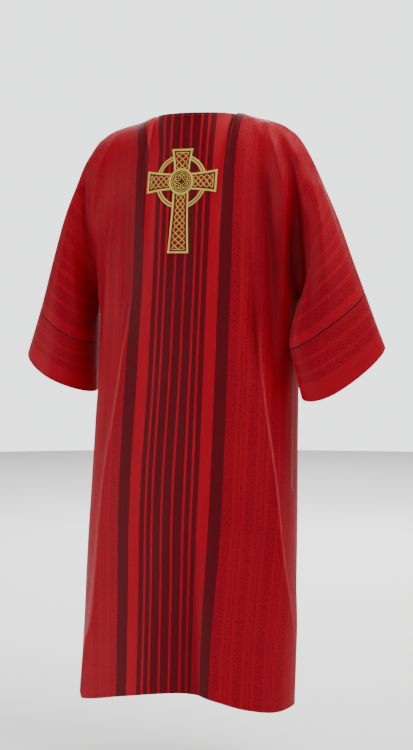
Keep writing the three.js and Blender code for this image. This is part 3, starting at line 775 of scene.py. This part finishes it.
# which stripe or band of specks a place lies in, with edges that waver as woven ones do
WAVER = 0.0012
waver = maths("MULTIPLY", maths("SUBTRACT", cloth.noise(cloth_map, 9.0, 1.0), 0.5), WAVER)
from_centre = maths("ABSOLUTE", maths("ADD", cloth_parts[0], waver))
stripe_place = maths("DIVIDE", from_centre, STRIPE_RAMP / 1000)
dark_stripe = stripe_ramp(cloth, stripe_place, STRIPES, 0, STRIPE_RAMP)
outside = cloth.ranged(from_centre, (STRIPES_END - 0.5) / 1000, (STRIPES_END + 0.5) / 1000, 0.0, 1.0)
beyond = maths("SUBTRACT", from_centre, STRIPES_END / 1000)
repeat_place = maths("FRACT", maths("DIVIDE", beyond, SPECK_REPEAT / 1000))
body_bands = stripe_ramp(cloth, repeat_place, SPECKS, 0, SPECK_REPEAT)
sleeve_place = cloth.ranged(from_centre, SLEEVE_FROM / 1000, SLEEVE_TO / 1000, 0.0, 1.0)
sleeve_bands = stripe_ramp(cloth, sleeve_place, SLEEVE_SPECKS, SLEEVE_FROM, SLEEVE_TO)
on_body = maths("LESS_THAN", from_centre, SLEEVE_FROM / 1000)
body_bands = maths("MULTIPLY", body_bands, on_body)
sleeve_bands = maths("MULTIPLY", sleeve_bands, maths("SUBTRACT", 1.0, on_body))
speck_bands = maths("ADD", body_bands, sleeve_bands)
specks = cloth.threads(cloth_map, 330, 230, 1.5, 0.7)
speck_dots = cloth.ranged(specks, 0.48, 0.57, 0.0, 1.0)
speck_cover = maths("MULTIPLY", maths("MULTIPLY", speck_dots, speck_bands), outside)

RED, HEATHER, DARK = linear(150, 0, 24), linear(139, 0, 22), linear(82, 0, 12)
SPECK, SEAM_THREAD = linear(72, 0, 8), linear(40, 6, 16)
LEAST_HEATHER, SPECK_STRENGTH = 0.5, 0.45
in_band = maths("MULTIPLY", dark_stripe, maths("SUBTRACT", 1.0, outside))
heather = maths("MULTIPLY", outside, maths("MAXIMUM", speck_bands, LEAST_HEATHER))
ground = cloth.blend(heather, RED, HEATHER)
ground = cloth.blend(maths("MULTIPLY", speck_cover, SPECK_STRENGTH), ground, SPECK)
ground = cloth.blend(in_band, ground, DARK)

# the dye took unevenly, in streaks along the warp and in wide patches
streaks = cloth.threads(cloth_map, 900, 6, 2.0)
patches = cloth.noise(cloth_map, 5.0, 3.0)
streak_tone = cloth.ranged(streaks, 0.3, 0.7, 0.92, 1.08)
patch_tone = cloth.ranged(patches, 0.3, 0.7, 0.95, 1.05)
ground = cloth.shaded(ground, maths("MULTIPLY", streak_tone, patch_tone))
to_seam = maths("ABSOLUTE", maths("SUBTRACT", from_centre, SEAM_TO_CENTRE / 1000))
seam_line = cloth.ranged(to_seam, 0.0011, 0.0017, 1.0, 0.0)
ground = cloth.blend(seam_line, ground, SEAM_THREAD)

# the two long breaks are sharp creases, and a paler pink is painted along them on the back as a painted
# highlight, its strength varied along the warp
CREASE_HIGHLIGHT_PINK, PAINTED_SHADE_RED = linear(226, 92, 98), linear(60, 0, 5)
PAINTED_SHADE_STRENGTH = 0.62
CREASE_RUN = 1.5  # longer than the cloth is long
MIDDLE = 0.5  # a curve holds only 0 to 1, so the centre line is put halfway
SHARPEST = 1
long_breaks = [fold for fold in FOLDS if fold[0] == BACK and fold[3] == SHARPEST]
crease_highlight_line = 0.0
for fold, fade in zip(long_breaks, (0.2, 0.25)):
    run = pressed_crease(fold)
    curve = cloth.add("ShaderNodeFloatCurve", {"Value": maths("DIVIDE", cloth_parts[1], CREASE_RUN)})
    line = curve.mapping.curves[0]
    line.points[0].location = (0, run[0][1] + MIDDLE)
    line.points[1].location = (1, run[-1][1] + MIDDLE)
    for at, reach in run:
        line.points.new(at / CREASE_RUN, reach + MIDDLE)
    curve.mapping.update()
    off = maths("SUBTRACT", maths("SUBTRACT", cloth_parts[0], curve.outputs[0]), -MIDDLE)
    core = cloth.ranged(maths("ABSOLUTE", off), 0.0004, 0.0042, 1.0, 0.0, interpolation_type="SMOOTHSTEP")
    begins = cloth.ranged(cloth_parts[1], run[0][0], run[0][0] + fade, 0.0, 1.0)
    crease_highlight_line = maths("MAXIMUM", crease_highlight_line, maths("MULTIPLY", core, begins))
crease_highlight_line = maths("MULTIPLY", crease_highlight_line, cloth.attribute("highlight_on_back"))
crease_highlight_amount = cloth.ranged(streaks, 0.35, 0.65, 0.12, 0.3)
# painted highlight: a paler pink laid along the two crease lines
ground = cloth.blend(maths("MULTIPLY", crease_highlight_line, crease_highlight_amount), ground, CREASE_HIGHLIGHT_PINK)
# painted shade: the cloth's colour is darkened in the deep troughs of the folds
ground = cloth.blend(maths("MULTIPLY", cloth.attribute("fold_painted_shade"), PAINTED_SHADE_STRENGTH), ground, PAINTED_SHADE_RED)
cloth.join(ground, "Base Color")

woven = cloth.add("ShaderNodeGroup", node_tree=weave)
cloth.links.new(cloth_map, woven.inputs["Cloth"])
cloth.join(cloth.ranged(woven.outputs["Slub"], 0.3, 0.7, 0.5, 0.62), "Roughness")
turned_under = cloth.ranged(cloth.attribute("hem"), 0.96, 1.04, 1.0, 0.0)
hem_ridge = cloth.bump(turned_under, 0.35, 0.0006)
cloth.join(cloth.bump(woven.outputs["Height"], 0.35, 0.0002, hem_ridge), "Normal")
cloth.set(Specular_IOR_Level=0.1, Sheen_Weight=0.06, Sheen_Roughness=0.38, Sheen_Tint=(1.0, 0.62, 0.6, 1))

CLOTH_THICKNESS = 0.0012
pieces = {}
for name in piece_names:
    piece = thing_of(f"{name}_cloth", cloth_mesh(name))
    piece.data.materials.append(cloth.material)
    thickness = piece.modifiers.new("cloth thickness", "SOLIDIFY")
    thickness.thickness = CLOTH_THICKNESS
    thickness.offset = -1
    thickness.use_even_offset = False
    pieces[name] = piece
    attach(piece, "root")
    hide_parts(name)

# ---------- The cross ----------
# A ringed cross in the old Celtic form, embroidered in gold over a patch of dark cloth: satin-stitched
# outlines, a ring, a roundel and plaits that fill the arms. It is sewn to the back, a little to the
# wearer's left. Its sizes are in millimetres from the middle of the roundel.

CROSS_X, CROSS_Z = 6.0, -152.0
UP, DOWN, SIDEWAYS = 72.0, 157.0, 82.0
TIP_HALF, ROOT_HALF, ROUNDEL, FLARE = 25.0, 18.5, 29.0, 1.5
RING_IN, RING_OUT = 50.0, 60.0
OUTLINE_HALF = 2.15
# each arm: its direction, its reach, how often its plait crosses, and half the plait's width at either end
ARMS = [
    (0.0, 1.0, UP, 2.5, 10.5, 15.0), (0.0, -1.0, DOWN, 8.5, 8.0, 15.5),
    (1.0, 0.0, SIDEWAYS, 3.5, 10.0, 14.5), (-1.0, 0.0, SIDEWAYS, 3.5, 10.0, 14.5),
]


def tree_of(piece):
    points = [vertex.co.copy() for vertex in piece.data.vertices]
    return BVHTree.FromPolygons(points, [tuple(face.vertices) for face in piece.data.polygons])


# how deep the back lies behind the cross, felt for from behind on a grid a little larger than the cross
PITCH = 2.5
GRID_SIDE, GRID_DOWN, GRID_UP = 100, 172, 90
back_tree = tree_of(pieces["back"])
grid_x = np.arange(CROSS_X - GRID_SIDE, CROSS_X + GRID_SIDE + 0.1, PITCH)
grid_z = np.arange(CROSS_Z - GRID_DOWN, CROSS_Z + GRID_UP + 0.1, PITCH)


def depth_at(x, z):
    spot, *_ = back_tree.ray_cast(Vector((x / 1000, 1, z / 1000)), Vector((0, -1, 0)))
    return spot.y * 1000


depth = np.array([[depth_at(x, z) for x in grid_x] for z in grid_z])
for _ in range(2):  # embroidery bridges the smallest waves of the cloth
    padded = np.pad(depth, 1, mode="edge")
    around = padded[1:-1, 1:-1] * 2 + padded[:-2, 1:-1] + padded[2:, 1:-1]
    depth = (around + padded[1:-1, :-2] + padded[1:-1, 2:]) / 6
slope_z, slope_x = np.gradient(depth, PITCH)


def laid(flat, height):
    """Places flat points (across, up) of the cross on the back, a height above its cloth, in metres."""
    x, z = flat[:, 0] + CROSS_X, flat[:, 1] + CROSS_Z
    column = np.clip((x - grid_x[0]) / PITCH, 0, len(grid_x) - 1.001)
    row = np.clip((z - grid_z[0]) / PITCH, 0, len(grid_z) - 1.001)
    i, j = row.astype(int), column.astype(int)
    u, v = column - j, row - i

    def at(values):
        return (
            values[i, j] * (1 - u) * (1 - v) + values[i, j + 1] * u * (1 - v)
            + values[i + 1, j] * (1 - u) * v + values[i + 1, j + 1] * u * v
        )

    normal = unit(np.stack([-at(slope_x), np.ones(len(x)), -at(slope_z)], axis=-1))
    return (np.stack([x, at(depth), z], axis=-1) + normal * np.asarray(height)[:, None]) / 1000


def arm_half(out, reach):
    flare = np.clip((out - ROUNDEL) / (reach - ROUNDEL), 0, 1)
    return ROOT_HALF + (TIP_HALF - ROOT_HALF) * flare**FLARE


# the patch under the embroidery stops under the middle of the outline, and has a redder strip down each arm
CELL, PATCH_INSET, PATCH_EDGE, PATCH_LIFT, PATCH_THICKNESS = 1.6, 2, 1.6, 0.55, 0.0005
STRIP_INSET, STRIP_FROM, STRIP_END, STRIP_SOFT, STRIP_SOFT_END = 6.5, 28, 7, 1.6, 2
cell_x = np.arange(-SIDEWAYS + PATCH_INSET, SIDEWAYS - PATCH_INSET + 0.1, CELL)
cell_z = np.arange(-DOWN + PATCH_INSET, UP - PATCH_INSET + 0.1, CELL)
mesh_x, mesh_z = np.meshgrid(cell_x, cell_z)


def cover(x, z, inset):
    """1 where the cross's shape, drawn in by inset, covers a point."""
    radius = np.hypot(x, z)
    covered = (radius < ROUNDEL - inset) | ((radius < RING_OUT - inset) & (radius > RING_IN + inset))
    for dx, dz, reach, *_ in ARMS:
        out, off = x * dx + z * dz, np.abs(x * dz - z * dx)
        covered |= (out > 0) & (out < reach - inset) & (off < arm_half(out, reach) - inset)
    return covered


patch_points = np.stack([mesh_x.ravel(), mesh_z.ravel()], axis=-1)
kept_cells = []
columns = len(cell_x)
for i in range(len(cell_z) - 1):
    for j in range(columns - 1):
        if cover(cell_x[j] + CELL / 2, cell_z[i] + CELL / 2, PATCH_EDGE):
            a = i * columns + j
            kept_cells.append((a, a + columns, a + columns + 1, a + 1))
kept, local = np.unique(np.array(kept_cells), return_inverse=True)
patch_points = patch_points[kept]
patch_height = np.full(len(kept), PATCH_LIFT)
patch_mesh = mesh_of("cross_patch", laid(patch_points, patch_height), local.reshape(-1, 4))
strip = np.zeros(len(kept))
for dx, dz, reach, *_ in ARMS:
    out = patch_points @ np.array((dx, dz))
    off = np.abs(patch_points @ np.array((dz, -dx)))
    on_strip = smooth((arm_half(out, reach) - STRIP_INSET - off) / STRIP_SOFT)
    on_strip *= smooth((out - STRIP_FROM) / STRIP_SOFT_END)
    on_strip *= smooth((reach - STRIP_END - out) / STRIP_SOFT_END)
    strip = np.maximum(strip, on_strip)
patch_mesh.attributes.new("strip", "FLOAT", "POINT").data.foreach_set("value", strip)
patch_uv = patch_mesh.uv_layers.new(name="cloth")
corners = np.array([corner.vertex_index for corner in patch_mesh.loops])
patch_uv.data.foreach_set("uv", (patch_points[corners] / 1000).ravel())
patch_mesh.polygons.foreach_set("use_smooth", [True] * len(patch_mesh.polygons))
sharpen_rim(patch_mesh)

patch = thing_of("cross_patch", patch_mesh)
patch_cloth = Finish("patch_cloth")
patch_map = patch_cloth.add("ShaderNodeUVMap", uv_map="cloth").outputs["UV"]
patch_weave = patch_cloth.add("ShaderNodeGroup", {"Cloth": patch_map, "Thread": 0.0005}, node_tree=weave)
patch_base = patch_cloth.blend(patch_cloth.attribute("strip"), linear(84, 0, 8), linear(122, 0, 11))
patch_tone = patch_cloth.ranged(patch_weave.outputs["Slub"], 0.3, 0.7, 0.85, 1.12)
patch_cloth.join(patch_cloth.shaded(patch_base, patch_tone), "Base Color")
patch_cloth.join(patch_cloth.bump(patch_weave.outputs["Height"], 0.4, 0.0002), "Normal")
patch_cloth.set(Roughness=0.6, Sheen_Weight=0.05, Specular_IOR_Level=0.2)
patch.data.materials.append(patch_cloth.material)
patch_thickness = patch.modifiers.new("cloth thickness", "SOLIDIFY")
patch_thickness.thickness = PATCH_THICKNESS
patch_thickness.offset = -1
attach(patch, "root")
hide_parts("cross")

# the embroidery is rows of satin stitch, each a rounded strand with a flat underside
gold_points, gold_faces, gold_uv = [], [], []
PROFILE_SIDES = 6
PROFILE = [math.pi * (1 - i / PROFILE_SIDES) for i in range(PROFILE_SIDES + 1)]
SHARPEST_MITRE, WIDEST_MITRE = 0.3, 1.6


def strand(path, half, height, base, closed=False):
    """Lays a rounded row of stitches along a flat path, base above the cloth at each point of it."""
    path = np.asarray(path, float)
    base = np.broadcast_to(np.asarray(base, float), (len(path),))
    if closed:
        before, after = np.roll(path, 1, axis=0), np.roll(path, -1, axis=0)
    else:
        before, after = np.vstack([path[:1], path[:-1]]), np.vstack([path[1:], path[-1:]])
    into, onward = path - before, after - path
    if not closed:
        into[0], onward[-1] = onward[0], into[-1]
    into, onward = unit(into), unit(onward)
    way = unit(into + onward)
    mitre = np.clip(1 / np.maximum(np.sum(way * onward, axis=1), SHARPEST_MITRE), 1, WIDEST_MITRE)
    left = np.stack([way[:, 1], -way[:, 0]], axis=-1) * mitre[:, None]
    run = np.concatenate([[0], np.cumsum(np.linalg.norm(np.diff(path, axis=0), axis=1))])
    start = sum(len(block) for block in gold_points)
    across, count = len(PROFILE), len(path)
    rounds = [laid(path + left * (half * math.cos(a)), base + height * math.sin(a)) for a in PROFILE]
    gold_points.append(np.stack(rounds, axis=1).reshape(-1, 3))
    for i in range(count if closed else count - 1):
        k = (i + 1) % count
        end = run[i] + np.linalg.norm(path[k] - path[i])
        for j in range(across):
            m = (j + 1) % across
            corners = ((i, j), (i, m), (k, m), (k, j))
            gold_faces.append([start + row * across + column for row, column in corners])
            low, high = (half * (1 - math.cos(PROFILE[column])) for column in (j, m))
            gold_uv.extend([(run[i], -low), (run[i], -high), (end, -high), (end, -low)])
    if not closed:
        for i, order in ((0, range(across - 1, -1, -1)), (count - 1, range(across))):
            gold_faces.append([start + i * across + j for j in order])
            gold_uv.extend([(run[i], 0)] * across)


def circle(radius, count, first=0.0, last=math.tau, ends=False):
    angles = np.linspace(first, last, count, endpoint=ends)
    return np.stack([radius * np.cos(angles), radius * np.sin(angles)], axis=-1)


PLAIT_POINT = 0.95  # 1 would turn the threads back in sharp corners


def plait_wave(angle):
    return np.arcsin(PLAIT_POINT * np.cos(angle)) / math.asin(PLAIT_POINT)


QUARTER = math.pi / 2
THREAD_HALF, THREAD_HIGH, THREAD_BASE, WEAVE_LIFT, FLAT_HIGH = 0.72, 0.75, 0.6, 0.3, 0.6
OUTLINE_HIGH, OUTLINE_BASE, OUTLINE_INTO, OUTLINE_STEP, TIP_STEPS = 1.1, 0.55, 4, 2.2, 14
PLAIT_START, PLAIT_END, PLAIT_THREADS, PLAIT_CLOSE, PLAIT_BOW = 1.0, 9.0, 4, 16, 1.2
ROOT_SPREAD, ROOT_RUN = 4, 8  # the plait is a little wider where it leaves the roundel


def woven_base(wave):
    """How high a thread lies as it goes over and under the others."""
    return THREAD_BASE + WEAVE_LIFT * (1 + wave)


for dx, dz, reach, crossings, plait_root, plait_tip in ARMS:
    forward, sideways = np.array((dx, dz)), np.array((dz, -dx))
    # the outline runs out along one edge of the arm, across its end and back along the other
    out = np.linspace(ROUNDEL - OUTLINE_INTO, reach - OUTLINE_HALF, int(reach / OUTLINE_STEP))
    half = (arm_half(out, reach) - OUTLINE_HALF)[:, None]
    tip = half[-1] * np.linspace(1, -1, TIP_STEPS)[1:-1, None]
    edge = np.vstack([
        out[:, None] * forward + half * sideways,
        out[-1] * forward + tip * sideways,
        (out[:, None] * forward - half * sideways)[::-1],
    ])
    strand(edge, OUTLINE_HALF, OUTLINE_HIGH, OUTLINE_BASE)
    # four threads plaited between the outlines, each over one and under the next
    begin, finish_at = ROUNDEL - PLAIT_START, reach - PLAIT_END
    out = np.linspace(begin, finish_at, int(finish_at - begin))
    share = (out - begin) / (finish_at - begin)
    width = plait_root + (plait_tip - plait_root) * share + ROOT_SPREAD * np.exp(-share * reach / ROOT_RUN)
    for thread in range(PLAIT_THREADS):
        angle = (share * crossings + thread + 0.5) * QUARTER
        half = width * plait_wave(angle)
        path = out[:, None] * forward + half[:, None] * sideways
        strand(path, THREAD_HALF, THREAD_HIGH, woven_base(np.sin(3 * angle)))
    # and one that closes it off before the arm's end
    over = np.linspace(1, -1, PLAIT_CLOSE)[:, None]
    close = (finish_at + PLAIT_BOW * (1 - over**2)) * forward + plait_tip * over * sideways
    strand(close, THREAD_HALF, FLAT_HIGH, THREAD_BASE)

# the ring's two edges, which pass behind the arms
RING_EDGES, RING_EDGE_HALF = (52.1, 57.9), 1.75
RING_HIGH, RING_BASE, RING_SETBACK, ARC_STEPS = 0.95, 0.5, 0.33, 34
for quarter in range(4):
    first = quarter * QUARTER + RING_SETBACK
    last = (quarter + 1) * QUARTER - RING_SETBACK
    for radius in RING_EDGES:
        arc = circle(radius, ARC_STEPS, first, last, ends=True)
        strand(arc, RING_EDGE_HALF, RING_HIGH, RING_BASE)

# the roundel: a rim, a thread inside it, and four loops that leave a small cross of the ground between them
RIM, RIM_HALF, RIM_HIGH = 26.6, 2.3, 1.25
INNER, INNER_HALF, LOOP_HIGH = 21.2, 0.8, 0.7
PETAL_AT, PETAL_HALF, PETAL_LONG, PETAL_STEPS = 11.6, 5.6, 1.35, 72
WAVE, WAVE_SWING, WAVE_STEPS = 14.2, 3.0, 160
strand(circle(RIM, 96), RIM_HALF, RIM_HIGH, THREAD_BASE, closed=True)
strand(circle(INNER, 80), INNER_HALF, LOOP_HIGH, THREAD_BASE, closed=True)
petal_turn = np.linspace(0, math.tau, PETAL_STEPS, endpoint=False)
for quarter in range(4):
    turn = (quarter + 0.5) * QUARTER
    petal = circle(PETAL_HALF, PETAL_STEPS)
    aside, along_petal = petal[:, 0] + PETAL_AT, petal[:, 1] * PETAL_LONG
    turned = np.stack([
        aside * math.cos(turn) - along_petal * math.sin(turn),
        aside * math.sin(turn) + along_petal * math.cos(turn),
    ], axis=-1)
    strand(turned, THREAD_HALF, LOOP_HIGH, woven_base(np.sin(3 * petal_turn)), closed=True)
wave_turn = np.linspace(0, math.tau, WAVE_STEPS, endpoint=False)
wave = WAVE + WAVE_SWING * np.cos(4 * wave_turn)
waved = np.stack([wave * np.cos(wave_turn), wave * np.sin(wave_turn)], axis=-1)
strand(waved, THREAD_HALF, LOOP_HIGH, woven_base(-np.sin(12 * wave_turn)), closed=True)

gold_mesh = mesh_of("cross_embroidery", np.concatenate(gold_points), gold_faces)
gold_layer = gold_mesh.uv_layers.new(name="stitches")
gold_layer.data.foreach_set("uv", (np.array(gold_uv) / 1000).ravel())
gold_mesh.polygons.foreach_set("use_smooth", [True] * len(gold_mesh.polygons))
embroidery = thing_of("cross_embroidery", gold_mesh)

gold = Finish("gold_thread")
stitch_map = gold.add("ShaderNodeUVMap", uv_map="stitches").outputs["UV"]
stitch_parts = gold.add("ShaderNodeSeparateXYZ", [stitch_map]).outputs
STITCH_PITCH = 0.00042
slant = gold.maths("ADD", stitch_parts[0], stitch_parts[1])
rib = gold.maths("ABSOLUTE", gold.maths("SINE", gold.maths("MULTIPLY", slant, math.pi / STITCH_PITCH)))
# painted glints: flecks of paler gold are painted along the stitches from this noise, which also varies the
# roughness
glint = gold.threads(stitch_map, 2300, 300, 2.0)
painted_glint_share = gold.ranged(glint, 0.32, 0.68, 0.0, 1.0)
gold_base = gold.blend(painted_glint_share, linear(178, 150, 42), linear(242, 222, 108))
# painted shade between the satin stitches and a slight painted highlight on their tops: the rib wave darkens
# and lightens the gold's colour
gold.join(gold.shaded(gold_base, gold.ranged(rib, 0.0, 1.0, 0.72, 1.05)), "Base Color")
gold.join(gold.ranged(glint, 0.3, 0.7, 0.32, 0.5), "Roughness")
gold.join(gold.bump(rib, 0.5, 0.00025), "Normal")
gold.set(Metallic=0.5)
embroidery.data.materials.append(gold.material)
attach(embroidery, "root")

# ---------- The stitching round the neck ----------
# The neck edge is turned under and held by one row of machine stitches in red thread, 5.5 mm from the edge.

STITCH_ROW, STITCH_LIFT, ROWS_DOWN = 5.5, 0.00012, 8
ring_points = []
for panel, piece, way in ((BACK, pieces["back"], 1), (FRONT, pieces["front"], -1)):
    share, body, fallen, _ = flat_maps[panel]
    tree = tree_of(piece)
    row = []
    for column in np.where(np.abs(share) <= NECK_SHARE + 0.001)[0]:
        depths, points = fallen[:ROWS_DOWN, column], body[:ROWS_DOWN, column]
        at = np.array([np.interp(STITCH_ROW, depths, points[:, axis]) for axis in range(3)]) / 1000
        spot, normal, *_ = tree.find_nearest(Vector(at))
        row.append(spot + normal * STITCH_LIFT)
    ring_points += row[::way]
stitch_path = bpy.data.meshes.new("neck_stitching")
stitch_count = len(ring_points)
stitch_path.from_pydata(ring_points, [(i, (i + 1) % stitch_count) for i in range(stitch_count)], [])
neck_stitching = thing_of("neck_stitching", stitch_path)

red_thread = Finish("red_thread")
thread_grain = red_thread.add("ShaderNodeTexCoord").outputs["Object"]
twist = red_thread.noise(thread_grain, 2600.0, 1.0)
red_thread.join(red_thread.blend(twist, linear(120, 16, 18), linear(176, 30, 32)), "Base Color")
red_thread.set(Roughness=0.45, Sheen_Weight=0.2)

stitching = bpy.data.node_groups.new("row_of_stitches", "GeometryNodeTree")
stitching.interface.new_socket("Path", in_out="INPUT", socket_type="NodeSocketGeometry")
for label, value in (("Pitch", 0.0034), ("Stitch Length", 0.0026), ("Thread Width", 0.0005)):
    socket = stitching.interface.new_socket(label, in_out="INPUT", socket_type="NodeSocketFloat")
    socket.default_value = value
stitching.interface.new_socket("Thread", in_out="INPUT", socket_type="NodeSocketMaterial")
stitching.interface.new_socket("Stitches", in_out="OUTPUT", socket_type="NodeSocketGeometry")
stitching_in = stitching.nodes.new("NodeGroupInput").outputs
stitching_out = stitching.nodes.new("NodeGroupOutput").inputs


def stitching_node(kind, values=(), **settings):
    return add_node(stitching.nodes, stitching.links, kind, values, **settings)


seam_curve = stitching_node("GeometryNodeMeshToCurve", {"Mesh": stitching_in["Path"]})
placed = stitching_node(
    "GeometryNodeCurveToPoints",
    {"Curve": seam_curve.outputs[0], "Length": stitching_in["Pitch"]},
    mode="LENGTH",
)
one_stitch = stitching_node("GeometryNodeMeshUVSphere", {"Segments": 8, "Rings": 5, "Radius": 0.5})
sizes = stitching_node(
    "ShaderNodeCombineXYZ",
    [stitching_in["Stitch Length"], stitching_in["Thread Width"], stitching_in["Thread Width"]],
)
lying = stitching_node("FunctionNodeAlignRotationToVector", {"Vector": placed.outputs["Tangent"]}, axis="X")
sewn = stitching_node(
    "GeometryNodeInstanceOnPoints",
    {
        "Points": placed.outputs["Points"], "Instance": one_stitch.outputs[0],
        "Rotation": lying.outputs[0], "Scale": sizes.outputs[0],
    },
)
realized = stitching_node("GeometryNodeRealizeInstances", [sewn.outputs[0]])
coloured = stitching_node(
    "GeometryNodeSetMaterial", {"Geometry": realized.outputs[0], "Material": stitching_in["Thread"]}
)
stitching.links.new(coloured.outputs[0], stitching_out["Stitches"])
sewing = neck_stitching.modifiers.new("stitches", "NODES")
sewing.node_group = stitching
for item in stitching.interface.items_tree:
    if item.item_type == "SOCKET" and item.in_out == "INPUT" and item.name == "Thread":
        sewing[item.identifier] = red_thread.material
evaluated = neck_stitching.evaluated_get(bpy.context.evaluated_depsgraph_get())
neck_stitching.data = bpy.data.meshes.new_from_object(evaluated)
neck_stitching.modifiers.clear()
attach(neck_stitching, "root")
